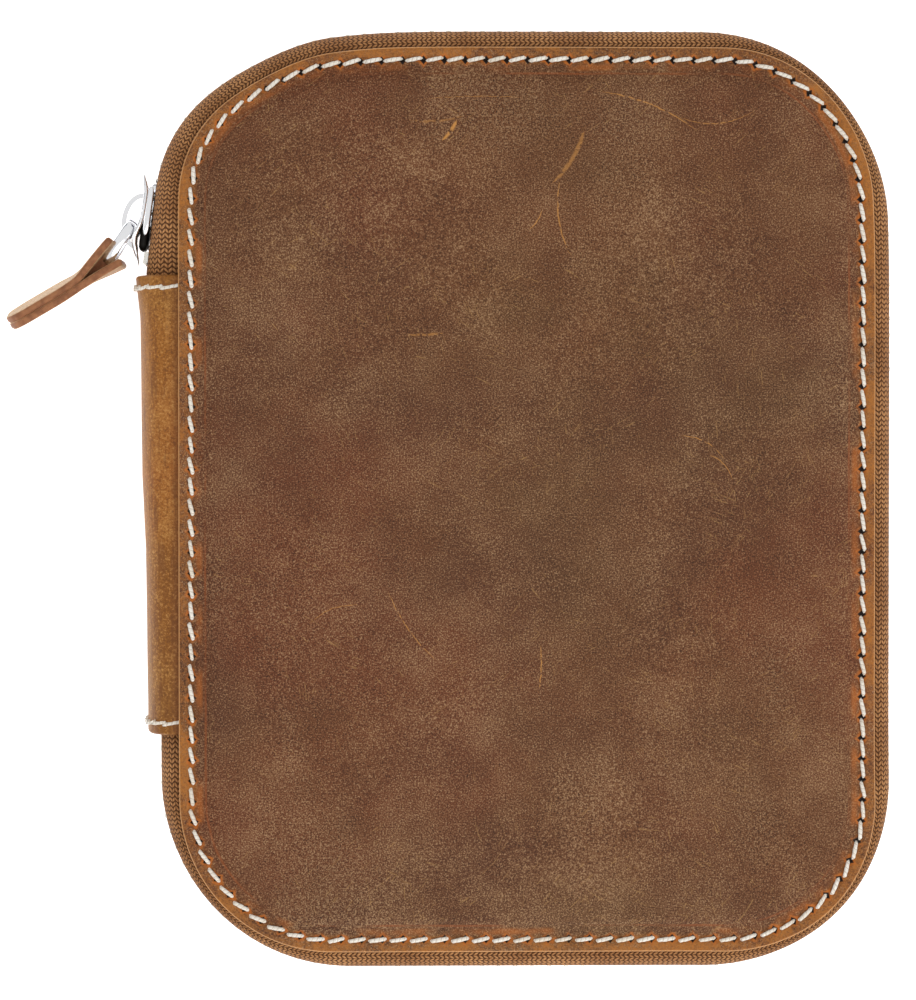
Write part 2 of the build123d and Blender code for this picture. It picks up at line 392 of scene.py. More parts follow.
def grainGroup():
    # pebbled hide: cells of two sizes with fine creases
    tree, s, i, o = newGroup("hideGrain", [("Pebbles", 1500.0)],
                             ["Height"])
    bent = s.shift(i["Vector"], 900.0, 2.0, 0.5, (0.0004, 0.0004, 0.0004))
    coarse = s.cells(bent, i["Pebbles"])
    fine = s.cells(bent, s.times(i["Pebbles"], 2.3))
    wide = s.noise(i["Vector"], 260.0, 3.0)
    height = s.plus(s.times(coarse, 0.55), s.times(fine, 0.3))
    s.set(o["Height"], s.plus(height, s.times(wide, 0.5)))
    return tree


def scratchGroup():
    # long thin lines at one angle, broken into patches
    tree, s, i, o = newGroup("scratchField", [
        ("Angle", 0.0), ("Stretch", 30.0),
        ("Thin", 1500.0), ("Cut", 0.7), ("Patches", 40.0), ("Seed", 0.0),
    ], ["Mask"])
    bent = s.shift(i["Vector"], 45.0, 1.0, 0.5, (0.012, 0.012, 0))
    turned = s.node("ShaderNodeVectorRotate", {"Vector": bent, "Angle": i["Angle"]}, rotation_type="Z_AXIS")
    x, y, z = s.split(turned.outputs[0])
    line = s.node("ShaderNodeCombineXYZ", {0: s.times(x, i["Stretch"]),
                                           1: s.times(y, i["Thin"]), 2: i["Seed"]}).outputs[0]
    streak = s.noise(line, 1.0, 1.0, 0.4)
    cut = i["Cut"]
    mark = s.step(streak, cut, s.plus(cut, 0.05))
    moved = s.vector("ADD", i["Vector"], s.node("ShaderNodeCombineXYZ", {0: i["Seed"]}).outputs[0])
    patch = s.step(s.noise(moved, i["Patches"], 2.0), 0.47, 0.6)
    broken = s.step(s.noise(i["Vector"], 700.0, 2.0), 0.42, 0.56)
    s.set(o["Mask"], s.times(mark, patch, broken))
    return tree


def markGroup():
    # one scratch: a bent line with tapered ends; Along is one over half its length
    tree, s, i, o = newGroup("scratchMark", [
        ("Centre", None), ("Along", None),
        ("Across", None), ("Bend", 0.0), ("Width", 0.0002),
        ("Wobble", 0.0), ("Broken", 1.0),
    ], ["Mask"])
    local = s.vector("SUBTRACT", i["Vector"], i["Centre"])
    along, across = s.along(local, i["Along"]), s.along(local, i["Across"])
    square = s.times(along, along)
    off = s.plus(s.minus(across, s.times(square, i["Bend"])), i["Wobble"])
    width = s.times(i["Width"], s.math("SUBTRACT", 1.001, s.times(square, square), clamp=True))
    mask = s.step(s.off(off), width, s.times(width, 0.2))
    inside = s.math("LESS_THAN", square, 1.0)
    s.set(o["Mask"], s.times(mask, i["Broken"], inside))
    return tree


def weaveGroup():
    # columns of V-shaped loops; the vector holds metres along and across the tape
    tree, s, i, o = newGroup("tapeWeave", [("Column", 0.00108),
                                           ("Loop", 0.0008)],
                             ["Height", "Shade"])
    u, v, w = s.split(s.shift(i["Vector"], 700.0, 2.0, 0.5, (0.0004, 0.0004, 0)))
    column = s.math("DIVIDE", v, i["Column"])
    inColumn = s.off(s.math("FRACT", column), 0.5)
    phase = s.plus(s.math("DIVIDE", u, i["Loop"]), s.times(inColumn, 1.3))
    loop = s.sine(phase, 1)
    loop = s.plus(s.times(loop, 0.5), 0.5)
    ridge = s.sine(inColumn, 1)
    height = s.times(s.math("POWER", loop, 0.7), s.plus(s.times(ridge, 0.75), 0.25))
    fibre = s.noise(i["Vector"], 5200.0, 2.0)
    s.set(o["Height"], s.plus(height, s.times(fibre, 0.25)))
    # Shade: loop height broken by fibre noise, low in the hollows between loops
    s.set(o["Shade"], s.math("MULTIPLY", height, s.plus(fibre, 0.45), clamp=True))
    return tree


def twistGroup():
    # plies of a waxed cord; the vector holds turns along it and the share round it
    tree, s, i, o = newGroup("cordTwist", [("Plies", 2.0)],
                             ["Height", "Groove"])
    u, v, w = s.split(i["Vector"])
    phase = s.plus(u, s.times(v, i["Plies"]))
    wave = s.off(s.sine(phase, 0.5))
    s.set(o["Height"], wave)
    # Groove marks the low parts between the plies, used as painted shade
    s.set(o["Groove"], s.step(wave, 0.45, 0.05))
    return tree


def wearGroup():
    # fine handling marks and dull spots for plated metal
    tree, s, i, o = newGroup("platingWear", [("Rough", 0.12)],
                             ["Roughness", "Dull", "Height"])
    spots = s.step(s.noise(i["Vector"], 420.0, 4.0), 0.45, 0.75)
    lines = s.noise(s.place(i["Vector"], turn=0.5, scale=(120, 3200, 900)), 1.0, 2.0)
    s.set(o["Roughness"], s.plus(i["Rough"], s.times(spots, lines, 0.3)))
    s.set(o["Dull"], spots)
    s.set(o["Height"], lines)
    return tree


hideGrain, scratchField, scratchMark = grainGroup(), scratchGroup(), markGroup()
tapeWeave, cordTwist, platingWear = weaveGroup(), twistGroup(), wearGroup()


def newMaterial(name, **shader):
    material = bpy.data.materials.new(name)
    material.use_nodes = True
    s = Sketch(material.node_tree)
    principled = material.node_tree.nodes["Principled BSDF"]
    for key, value in shader.items():
        principled.inputs[key.replace("_", " ")].default_value = value
    return material, s, principled.inputs


def bump(s, height, strength, distance):
    return s.node("ShaderNodeBump", {"Height": height, "Strength": strength, "Distance": distance}).outputs[0]


def surface(s, put, colour, height, strength, distance, rough=None):
    s.set(put["Base Color"], colour)
    s.set(put["Normal"], bump(s, height, strength, distance))
    if rough:
        s.set(put["Roughness"], rough)


def objectSpace(s):
    return s.node("ShaderNodeTexCoord").outputs["Object"]


def uvSpace(s, name):
    return s.node("ShaderNodeUVMap", uv_map=name).outputs[0]


# the covers: rings of points from the middle of the face out, down the edge and back in below
coverSet = {"ringPoints": 1104, "stitches": 138, "seamInset": 2.05 * mm, "rimDrop": 0.8 * mm,
            "thick": 2.4 * mm, "ringsTo": 20 * mm, "middleRun": 37 * mm,
            "groove": 0.22 * mm, "edgeRound": 0.35 * mm, "ripple": 0.16 * mm, "hole": 0.38 * mm}
seamTotal, seamAt = roundedOutline(coverSet["seamInset"])
seamStart = halfW - cornerR            # half of the top straight, so counting starts at the middle
pitch = seamTotal / coverSet["stitches"]


def ringPoint(share, inset):
    # a point of the outline moved in by inset; past the last ring it closes on the middle line
    deep = coverSet["ringsTo"]
    edge, out = seamAt(seamStart + share * seamTotal)
    edge = edge + out * coverSet["seamInset"]
    if inset <= deep:
        return settle(edge - out * inset)
    ring = edge - out * deep
    middle = Vector((0, max(halfW - halfH, min(halfH - halfW, ring.y)), 0))
    return settle(ring.lerp(middle, (inset - deep) / coverSet["middleRun"]))


def ease(value, low, high):
    t = max(0.0, min(1.0, (value - low) / (high - low)))
    return t * t * (3 - 2 * t)


def hump(value, centre, width):
    return math.exp(-((value - centre) / width) ** 2)


def plate(name, stations, height, count=coverSet["ringPoints"], flip=False, uvName="rim"):
    # stations are (inset, level, tag); height(point, inset, seamCount, tag) adds to the level
    rows, us = [], []
    for inset, level, tag in stations:
        row = []
        for k in range(count):
            share = k / count
            p = ringPoint(share, inset)
            z = level + height(p, inset, share * coverSet["stitches"], tag)
            p.z = 2 * midZ - z if flip else z
            row.append(p)
        rows.append(row)
        us.append(inset / mm if tag == "top" else -3.0)
    for i, (inset, level, tag) in enumerate(stations):
        if tag == "wall":
            us[i] = -(stations[0][1] - coverSet["rimDrop"] - level) / mm
    columns = [k / count * coverSet["stitches"] for k in range(count + 1)]
    return mergeAndTurnOut(gridObject(name, rows, us, columns, closeCols=True, uvName=uvName))


def coverHeight(p, inset, seamCount, tag):
    if tag != "top":
        return 0.0
    c = coverSet
    z = -c["rimDrop"] * (1 - ease(inset, 2.9 * mm, 6.2 * mm))
    near = abs(seamCount - round(seamCount)) * pitch
    z -= c["groove"] * hump(inset, c["seamInset"], 0.5 * mm)
    z -= c["hole"] * hump(inset, c["seamInset"], 0.32 * mm) * hump(near, 0, 0.42 * mm)
    z -= 0.08 * mm * hump(inset, 4.4 * mm, 0.3 * mm)
    if inset < c["edgeRound"]:
        z -= 0.8 * c["edgeRound"] * (1 - inset / c["edgeRound"]) ** 2
    soft = ease(inset, 3 * mm, 14 * mm)
    z += soft * c["ripple"] * noise.noise(Vector((p.x * 26, p.y * 26, 3.7)))
    z += soft * 0.3 * c["ripple"] * noise.noise(Vector((p.x * 110, p.y * 110, 9.1)))
    z += 0.04 * mm * noise.noise(Vector((p.x * 160, p.y * 160, 1.3))) * ease(inset, 0, 3 * mm)
    return z


topInsets = [57, 53, 49, 45, 41, 37, 33, 29.5, 26, 23, 20, 17.5, 15, 13, 11, 9.5, 8.2, 7.2, 6.4, 5.7, 5.1,
             4.7, 4.4, 4.1, 3.7, 3.3, 2.95, 2.7, 2.5, 2.3, 2.15, 2.05, 1.95, 1.8, 1.6, 1.4, 1.15, 0.85, 0.55,
             0.35, 0.22, 0.12, 0.04, 0]
wallTop = topZ - coverSet["rimDrop"]
coverUnder = topZ - coverSet["thick"]
coverStations = [(i * mm, topZ, "top") for i in topInsets]
coverStations += [(0, wallTop - d * mm, "wall") for d in (0.45, 0.8, 1.2, 1.45)]
coverStations += [(i * mm, coverUnder, "under") for i in (0.15, 1.0, 4.0, 5.8)]
coverStations += [(i * mm, topZ - 1.6 * mm, "under") for i in (6.0, 20, 40, 57)]


def leatherBase(s, p, looks):
    # oiled hide that lightens where it is bent and rubbed; returns colour, height and gloss parts
    broad = s.noise(p, 24.0, 5.0, 0.62)
    warm = s.noise(s.place(p, location=(0.31, 0.12, 0.5)), 17.0, 4.0, 0.6)
    cloud = s.noise(s.place(p, location=(0.7, 0.4, 0.2)), 60.0, 8.0, 0.74)
    grain = s.group(hideGrain, Vector=p)
    speck = s.noise(p, looks["speck"], 3.0, 0.75)
    colour = s.mix(s.step(broad, 0.28, 0.72), looks["dark"], looks["mid"])
    colour = s.mix(s.times(s.step(warm, 0.45, 0.66), looks["warmth"]), colour, looks["warm"])
    colour = s.mix(s.times(s.step(warm, 0.46, 0.32), looks["olive"]), colour, looks["green"])
    haze = s.times(s.step(cloud, 0.46, 0.76), looks["haze"])
    colour = s.mix(haze, colour, looks["pale"])
    lean = s.plus(speck, s.times(s.minus(cloud, 0.5), 0.26))
    colour = s.mix(s.times(s.step(lean, 0.52, 0.66), looks["fleck"]), colour, looks["pale"])
    colour = s.mix(s.times(s.step(lean, 0.49, 0.36), looks["fleck"]), colour, looks["deep"])
    height = s.plus(s.times(grain["Height"], 0.5), speck)
    return colour, height, haze


coverLooks = {"dark": linear(94, 55, 30), "mid": linear(106, 63, 31), "warm": linear(112, 55, 25),
              "warmth": 0.6, "pale": linear(172, 137, 100), "haze": 0.07, "fleck": 0.82, "speck": 4000.0,
              "deep": linear(46, 24, 9), "olive": 0.34, "green": linear(98, 70, 38),
              "margin": linear(170, 106, 42), "edge": linear(196, 141, 84), "crease": linear(150, 78, 34),
              "hole": linear(24, 12, 7), "halo": linear(188, 104, 34), "scratch": linear(180, 138, 84),
              "fibre": linear(190, 132, 66)}
# x, y, angle, length, bend, width in millimetres and degrees, and how strong
coverMarks = [(20.2, 64.5, -22, 17, -1.2, 0.16, 0.75), (31, 61.5, 5, 12, 1.5, 0.14, 0.6),
              (-12.6, 60.2, 55, 4.2, 0.2, 0.42, 1.0), (7.4, 56.0, 60, 11, 0.9, 0.5, 0.5),
              (5.0, 46, 98, 13, -1.2, 0.16, 0.75), (1.5, 45.5, 55, 4, 0.4, 0.12, 0.9),
              (2.2, -27.5, 88, 8, 0.3, 0.12, 0.9), (29.0, 9.6, -28, 8, -1.0, 0.12, 0.8),
              (32, 6.0, -45, 6, -0.9, 0.12, 0.75), (-19.5, -21.0, -55, 14, 0.9, 0.12, 0.75),
              (-31.5, -17.5, 18, 10, -1.4, 0.1, 0.6), (-9, 65.8, 1, 16, -0.3, 0.1, 0.5),
              (-15, 61.8, 4, 9, 0.5, 0.3, 0.35), (-16.5, 27, 3, 6, 0.2, 0.32, 0.5)]


def coverMaterial():
    material, s, put = newMaterial("coverHide", Roughness=0.65, Specular_IOR_Level=0.22)
    looks = coverLooks
    p = objectSpace(s)
    inset, count, none = s.split(uvSpace(s, "rim"))
    colour, height, haze = leatherBase(s, p, looks)
    # rubbed clouds towards the middle and along the bands that touch a table
    rub = s.times(s.step(s.noise(s.place(p, scale=(1, 0.6, 1)), 42.0, 4.0), 0.52, 0.68),
                 s.step(s.noise(p, 2000.0, 3.0, 0.8), 0.48, 0.6))
    colour = s.mix(s.times(rub, 0.4), colour, looks["pale"])
    for angle, thin, cut, patches, seed, strength in (
            (0.5, 3600.0, 0.66, 44.0, 1.0, 0.4), (-0.75, 4200.0, 0.66, 52.0, 5.3, 0.36),
            (1.4, 3900.0, 0.66, 48.0, 9.1, 0.36)):
        mask = s.group(scratchField, Vector=p, Angle=angle, Stretch=190.0, Thin=thin, Cut=cut,
                       Patches=patches, Seed=seed)["Mask"]
        colour = s.mix(s.times(mask, strength), colour, looks["scratch"])
    wobble = s.times(s.minus(s.noise(p, 900.0, 2.0), 0.5), 0.0004)
    broken = s.times(s.step(s.noise(p, 1300.0, 2.0), 0.36, 0.5), s.math("GREATER_THAN", s.split(p)[2], midZ))
    for mx, my, turn, length, bend, width, strength in coverMarks:
        c, d, half = math.cos(math.radians(turn)), math.sin(math.radians(turn)), length * mm / 2
        mark = s.group(scratchMark, Vector=p, Centre=(mx * mm, my * mm, topZ), Wobble=wobble, Broken=broken,
                       Along=(c / half, d / half, 0), Across=(-d, c, 0), Bend=bend * mm,
                       Width=width * mm)["Mask"]
        colour = s.mix(s.times(mark, strength), colour, looks["fibre"])
    # sewn margin, worn brighter towards the cut edge
    wander = s.times(s.minus(s.noise(p, 160.0, 3.0), 0.5), 1.6)
    band = s.step(s.plus(inset, wander), 3.3, 1.5)
    uneven = s.plus(s.times(s.step(s.noise(p, 70.0, 5.0, 0.7), 0.42, 0.58), 0.55),
                    s.times(s.step(s.noise(p, 2400.0, 3.0, 0.8), 0.42, 0.58), 0.42))
    colour = s.mix(s.times(band, uneven), colour, looks["margin"])
    # painted highlight: a bright orange line in the halo colour along the raised ridge inside the seam
    ridge = s.times(s.step(s.off(inset, 3.4), 0.9, 0.1),
                   s.step(s.noise(p, 90.0, 4.0), 0.45, 0.65))
    colour = s.mix(s.times(ridge, 0.5), colour, looks["halo"])
    # painted highlight: a lighter reddish line along the crease ring about 4.4 mm in
    crease = s.step(s.off(s.plus(inset, s.times(wander, 0.2)), 4.4),
                    0.28, 0.05)
    crease = s.times(crease, s.step(s.noise(p, 60.0, 3.0), 0.4, 0.6))
    colour = s.mix(s.times(crease, 0.5), colour, looks["crease"])
    # punched holes with a bright bruised ring
    along = s.times(s.minus(s.math("FRACT", s.plus(count, 0.5)), 0.5), pitch / mm)
    across = s.minus(inset, coverSet["seamInset"] / mm + 0.12)
    wide = s.plus(s.off(s.times(along, 0.75)), s.off(across))
    ragged = s.times(s.minus(s.noise(p, 1500.0, 3.0), 0.5), 1.4)
    halo = s.times(s.step(s.plus(wide, ragged), 1.35, 0.75), s.step(s.noise(p, 330.0, 2.0), 0.3, 0.55))
    colour = s.mix(s.times(halo, 0.8), colour, looks["halo"])
    # painted shade: the dark inside of each punched hole
    slit = s.plus(s.off(along), s.times(s.off(across), 0.8))
    colour = s.mix(s.step(slit, 0.72, 0.48), colour, looks["hole"])
    # painted highlight along the rounded cut edge of the top face
    lip = s.step(s.off(inset, 0.06), 0.2, 0.06)
    colour = s.mix(s.times(lip, 0.75), colour, looks["edge"])
    colour = s.mix(s.step(inset, -0.25, -0.9), colour, linear(112, 66, 34))
    surface(s, put, colour, height, 0.4, 0.0002, s.plus(0.5, s.times(haze, 0.5)))
    return material


hideMaterial = coverMaterial()
for side, flip in (("front", False), ("back", True)):
    cover = plate(side + "CoverHide", coverStations, coverHeight, flip=flip)
    finishPiece(cover, side, hideMaterial, [side + "_cover_leather"])
print("covers made")


# stitches and teeth: one tree that sets copies of a template along a line
def rowTree(name):
    tree = bpy.data.node_groups.new(name, "GeometryNodeTree")
    for label, kind in (("Path", "Geometry"), ("Template", "Object"), ("Count", "Int"), ("Up", "Vector"),
                        ("Side", "Vector"), ("Slant", "Float"), ("Jitter", "Float"), ("Seed", "Int"),
                        ("Finish", "Material")):
        tree.interface.new_socket(label, in_out="INPUT", socket_type="NodeSocket" + kind)
    tree.interface.new_socket("Row", in_out="OUTPUT", socket_type="NodeSocketGeometry")
    s = Sketch(tree)
    i, o = s.node("NodeGroupInput").outputs, s.node("NodeGroupOutput").inputs
    curve = s.node("GeometryNodeMeshToCurve", {"Mesh": i["Path"]}).outputs[0]
    points = s.node("GeometryNodeCurveToPoints", {"Curve": curve, "Count": i["Count"]}, mode="COUNT").outputs
    cross = s.vector("CROSS_PRODUCT", points["Tangent"], i["Side"])
    up = s.vector("ADD", cross, i["Up"])
    frameOf = s.node("FunctionNodeAxesToRotation", {0: up, 1: points["Tangent"]}, primary_axis="Z",
                     secondary_axis="X").outputs[0]
    wobble = s.node("FunctionNodeRandomValue", {"Seed": i["Seed"]}, data_type="FLOAT")
    wobble.inputs[2].default_value, wobble.inputs[3].default_value = -1.0, 1.0
    turn = s.plus(i["Slant"], s.times(wobble.outputs[1], i["Jitter"]))
    euler = s.node("ShaderNodeCombineXYZ", {2: turn}).outputs[0]
    spun = s.node("FunctionNodeRotateRotation", {0: frameOf, 1: euler}, rotation_space="LOCAL").outputs[0]
    shape = s.node("GeometryNodeObjectInfo", {"Object": i["Template"]}).outputs["Geometry"]
    size = s.node("FunctionNodeRandomValue", {"Seed": s.plus(i["Seed"], 3)}, data_type="FLOAT")
    size.inputs[2].default_value, size.inputs[3].default_value = 0.94, 1.06
    placed = s.node("GeometryNodeInstanceOnPoints", {"Points": points["Points"], "Instance": shape,
                                                     "Rotation": spun, "Scale": size.outputs[1]}).outputs[0]
    solid = s.node("GeometryNodeRealizeInstances", {"Geometry": placed}).outputs[0]
    s.set(o[0], s.node("GeometryNodeSetMaterial", {"Geometry": solid, "Material": i["Finish"]}).outputs[0])
    return tree


stitchTree = rowTree("rowAlongSeam")


def pathMesh(name, points, closed):
    mesh = bpy.data.meshes.new(name)
    count = len(points)
    edges = [(k, (k + 1) % count) for k in range(count if closed else count - 1)]
    mesh.from_pydata([tuple(p) for p in points], edges, [])
    obj = bpy.data.objects.new(name, mesh)
    bpy.context.scene.collection.objects.link(obj)
    return obj


def makeRow(name, points, closed, template, count, finish, up=(0, 0, 1), side=(0, 0, 0), slant=0.0,
            jitter=0.0, seed=1):
    host = pathMesh(name, points, closed)
    modifier = host.modifiers.new("row", "NODES")
    modifier.node_group = stitchTree
    values = {"Template": template, "Count": count, "Up": up, "Side": side, "Slant": slant, "Jitter": jitter,
              "Seed": seed, "Finish": finish}
    for item in stitchTree.interface.items_tree:
        if item.in_out == "INPUT" and item.name in values:
            modifier[item.identifier] = values[item.name]
    return applyModifiers(host)


def template(name, rings, uvName="thread"):
    # closed rings of points, capped at both ends, kept off the scene
    count = len(rings[0])
    verts = [p for ring in rings for p in ring]
    faces, uvs = [], []
    for i in range(len(rings) - 1):
        for j in range(count):
            k = (j + 1) % count
            faces.append((i * count + j, i * count + k, (i + 1) * count + k, (i + 1) * count + j))
            a, b = i / (len(rings) - 1), (i + 1) / (len(rings) - 1)
            uvs.append([(a, j / count), (a, (j + 1) / count), (b, (j + 1) / count), (b, j / count)])
    last = (len(rings) - 1) * count
    faces += [tuple(range(count))[::-1], tuple(range(last, last + count))]
    uvs += [[(0, 0)] * count, [(1, 0)] * count]
    made = newObject(name, verts, faces, uvs, uvName)
    mergeAndTurnOut(made, 1e-7)
    bpy.context.scene.collection.objects.unlink(made)
    return made


threadSet = {"length": 3.2 * mm, "width": 0.68 * mm, "height": 0.5 * mm, "lift": 0.2 * mm, "dive": 0.55 * mm}


def stitchTemplate():
    rings = []
    t = threadSet
    for k in range(8):
        share = k / 7 * 2 - 1
        thin = 1 - 0.5 * abs(share) ** 4
        z = t["lift"] - t["dive"] * abs(share) ** 5
        ring = []
        for j in range(8):
            angle = 2 * math.pi * j / 8
            swell = thin / 2 * (1 + 0.1 * math.cos(2 * (angle - share * 4.2)))
            ring.append(Vector((share * t["length"] / 2, math.cos(angle) * t["width"] * swell,
                                z + math.sin(angle) * t["height"] * swell)))
        rings.append(ring)
    return template("waxedStitch", rings)


def threadMaterial():
    material, s, put = newMaterial("waxedThread", Roughness=0.6)
    twist = s.group(cordTwist, Vector=s.place(uvSpace(s, "thread"), scale=(4.2, 1, 1)), Plies=1.0)
    fibre = s.noise(objectSpace(s), 5200.0, 3.0)
    soil = s.step(s.noise(objectSpace(s), 130.0, 3.0), 0.4, 0.75)
    colour = s.mix(s.times(soil, 0.5), linear(238, 232, 220), linear(214, 196, 168))
    # painted shade in the grooves between the plies
    colour = s.mix(s.times(twist["Groove"], 0.5), colour, linear(168, 138, 108))
    colour = s.mix(s.times(fibre, 0.12), colour, linear(190, 170, 145))
    surface(s, put, colour, s.plus(twist["Height"], s.times(fibre, 0.3)), 0.6, 0.0001)
    return material


threadFinish = threadMaterial()
stitch = stitchTemplate()
seamLevel = topZ - coverSet["rimDrop"] - 0.12 * mm


for side, z, up in (("front", seamLevel, 1), ("back", 2 * midZ - seamLevel, -1)):
    points = []
    for k in range(coverSet["stitches"] * 4):
        p = ringPoint((k / 4 + 0.5) / coverSet["stitches"], coverSet["seamInset"])
        points.append(Vector((p.x, p.y, z)))
    if side == "back":
        points = points[:1] + points[:0:-1]
    seam = makeRow(side + "SeamThread", points, True, stitch, coverSet["stitches"], threadFinish,
                   up=(0, 0, up), slant=math.radians(11), jitter=math.radians(4), seed=11)
    finishPiece(seam, side, None, [side + "_seam_thread"])
print("seams sewn")


# the zip: the chain's line round the covers, from the spine's top end to its bottom end
zipSet = {"offset": 3.1 * mm, "tape": 0.6 * mm, "flange": 5.0 * mm, "edge": 2.4 * mm, "pitch": 2.8 * mm,
          "slant": 6.0, "slantOffset": 5.4 * mm, "slantRadius": 29.5 * mm, "cornerRadius": 31.2 * mm,
          "bead": 0.22 * mm,
          "tuck": 1.9 * mm, "middle": -0.8 * mm, "clear": 43 * mm, "hidden": 37.5 * mm,
          "endTop": 57.2 * mm}
spineTop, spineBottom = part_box("spine_leather")[1].y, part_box("spine_leather")[0].y
zipTop = halfH + zipSet["offset"]
zipSide = halfW + zipSet["offset"]
startX, startY = -halfW - zipSet["slantOffset"], spineTop + 0.4 * mm
slantRun = (zipTop - startY) * math.tan(math.radians(zipSet["slant"]))
chainLine = filletPath([(startX, startY, 0), (startX + slantRun, zipTop, 0), (zipSide, zipTop, 0),
                        (zipSide, -zipTop, 0), (-zipSide, -zipTop, 0), (-zipSide, spineBottom + 0.3 * mm, 0)],
                       [zipSet["slantRadius"]] + [zipSet["cornerRadius"]] * 3, 0.9 * mm)
tuckedTop = [Vector((startX + x * mm, startY - y * mm, 0)) for x, y in ((1.1, 6.5), (0.35, 3))]
tuckedBottom = [Vector((-zipSide + x * mm, spineBottom + y * mm, 0)) for x, y in ((0.25, 3), (0.9, 6.5))]
tapeLine = tuckedTop + chainLine[0] + tuckedBottom


tapeLengths = lineLengths(tapeLine)


def tapeSection(p):
    # closed loop of points: over the flange, round the shoulder, down the wall and back up inside
    edge = nearestOnEdge(p)
    out = Vector((p.x, p.y, 0)) - edge
    reach = out.length
    out.normalize()
    under, low = coverUnder - 0.02 * mm, midZ + zipSet["edge"]
    bendZ = low + 1.5 * mm
    outer = [(-zipSet["flange"], under), (-2.0 * mm, under), (0.1 * mm, under)]
    for k in range(1, 9):
        angle = math.pi / 2 * k / 8
        u = 0.3 * mm + (reach - 0.3 * mm) * math.sin(angle) ** 0.92
        outer.append((u, bendZ + (under - bendZ) * math.cos(angle) ** 0.8))
    outer += [(reach + zipSet["bead"] * 0.7, low + 0.95 * mm), (reach + zipSet["bead"], low + 0.5 * mm),
              (reach + zipSet["bead"] * 0.5, low + 0.12 * mm)]
    t = zipSet["tape"]
    inner = [(reach - t * 0.5, low), (reach - t - zipSet["bead"] * 0.6, low + 0.3 * mm), (reach - t, bendZ)]
    for k in range(6, 0, -1):
        angle = math.pi / 2 * k / 7
        u = 0.1 * mm + (reach - t - 0.1 * mm) * math.sin(angle) ** 0.92
        inner.append((u, bendZ + (under - t - bendZ) * math.cos(angle) ** 0.8))
    inner += [(0.0, under - t), (-zipSet["flange"], under - t)]
    drop = zipSet["tuck"] * ease(abs(p.y - zipSet["middle"]), zipSet["clear"], zipSet["hidden"])
    if p.x > 0 or abs(p.y) > 60 * mm:
        drop = 0.0
    return [settle(edge + out * u) + Vector((0, 0, z - drop * ease(z, midZ + 4 * mm, midZ + 9 * mm)))
            for u, z in outer + inner]


def tapePiece(name, first, last, flip):
    rows = []
    for p in tapeLine[first:last + 1]:
        loop = tapeSection(p)
        if flip:
            loop = [Vector((q.x, q.y, 2 * midZ - q.z)) for q in loop]
        rows.append(loop)
    loop = rows[len(rows) // 2]
    across = lineLengths(loop + loop[:1])
    made = gridObject(name, rows, tapeLengths[first:last + 1], across, closeCols=True, uvName="weave")
    return endCaps(made, len(loop))


def tapeMaterial():
    material, s, put = newMaterial("zipTapeWeave", Roughness=0.85, Specular_IOR_Level=0.2)
    weave = s.group(tapeWeave, Vector=uvSpace(s, "weave"))
    p = objectSpace(s)
    tone = s.noise(p, 120.0, 3.0)
    colour = s.mix(s.step(tone, 0.3, 0.7), linear(172, 118, 72), linear(200, 144, 92))
    # painted shade in the hollows between the woven loops
    colour = s.mix(s.step(weave["Shade"], 0.66, 0.08), colour, linear(86, 52, 28))
    surface(s, put, colour, weave["Height"], 0.85, 0.0003)
    return material


tapeFinish = tapeMaterial()
topSplit = next(k for k, p in enumerate(tapeLine) if p.y > 70 * mm)
bottomSplit = max(k for k, p in enumerate(tapeLine) if p.y < -56 * mm)


def stretchAcross(piece):
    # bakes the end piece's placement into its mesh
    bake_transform(piece)


for side, flip in (("front", False), ("back", True)):
    tape = tapePiece(side + "ZipTape", topSplit, bottomSplit, flip)
    finishPiece(tape, side, tapeFinish, [side + "_zip_tape"])
    for end, first, last in (("top", 0, topSplit), ("bottom", bottomSplit, len(tapeLine) - 1)):
        tape = tapePiece(side + end.capitalize() + "TapeEnd", first, last, flip)
        finishPiece(tape, None, tapeFinish, ["zip_end_tape"])
        stretchAcross(tape)
print("tape made")

toothSet = {"thick": 1.0 * mm, "depth": 1.7 * mm, "over": 1.1 * mm, "reach": 2.9 * mm, "sink": 0.45 * mm}


def toothTemplate(name, way):
    rings = []
    t = toothSet
    for y, wide, deep in ((-t["over"], 0.55, 0.62), (-t["over"] + 0.25 * mm, 0.9, 1.0), (0.1 * mm, 1.0, 1.0),
                          (1.0 * mm, 0.95, 0.9), (1.7 * mm, 1.0, 0.85), (2.6 * mm, 0.92, 0.8),
                          (t["reach"], 0.5, 0.5)):
        a, b, c = t["thick"] / 2 * wide, t["depth"] / 2 * deep, 0.22 * mm
        ring = [(a, b - c), (a - c, b), (-a + c, b), (-a, b - c)]
        ring += [(-x, -z) for x, z in ring]
        rings.append([Vector((x, y * way, z - t["sink"])) for x, z in ring])
    return template(name, rings, "metal")


def metalMaterial(name, colour, rough, dullColour):
    material, s, put = newMaterial(name, Metallic=1.0)
    p = objectSpace(s)
    worn = s.group(platingWear, Vector=p, Rough=rough)
    colour = s.mix(s.times(worn["Dull"], 0.4), colour, dullColour)
    surface(s, put, colour, worn["Height"], 0.04, 0.0001, worn["Roughness"])
    return material


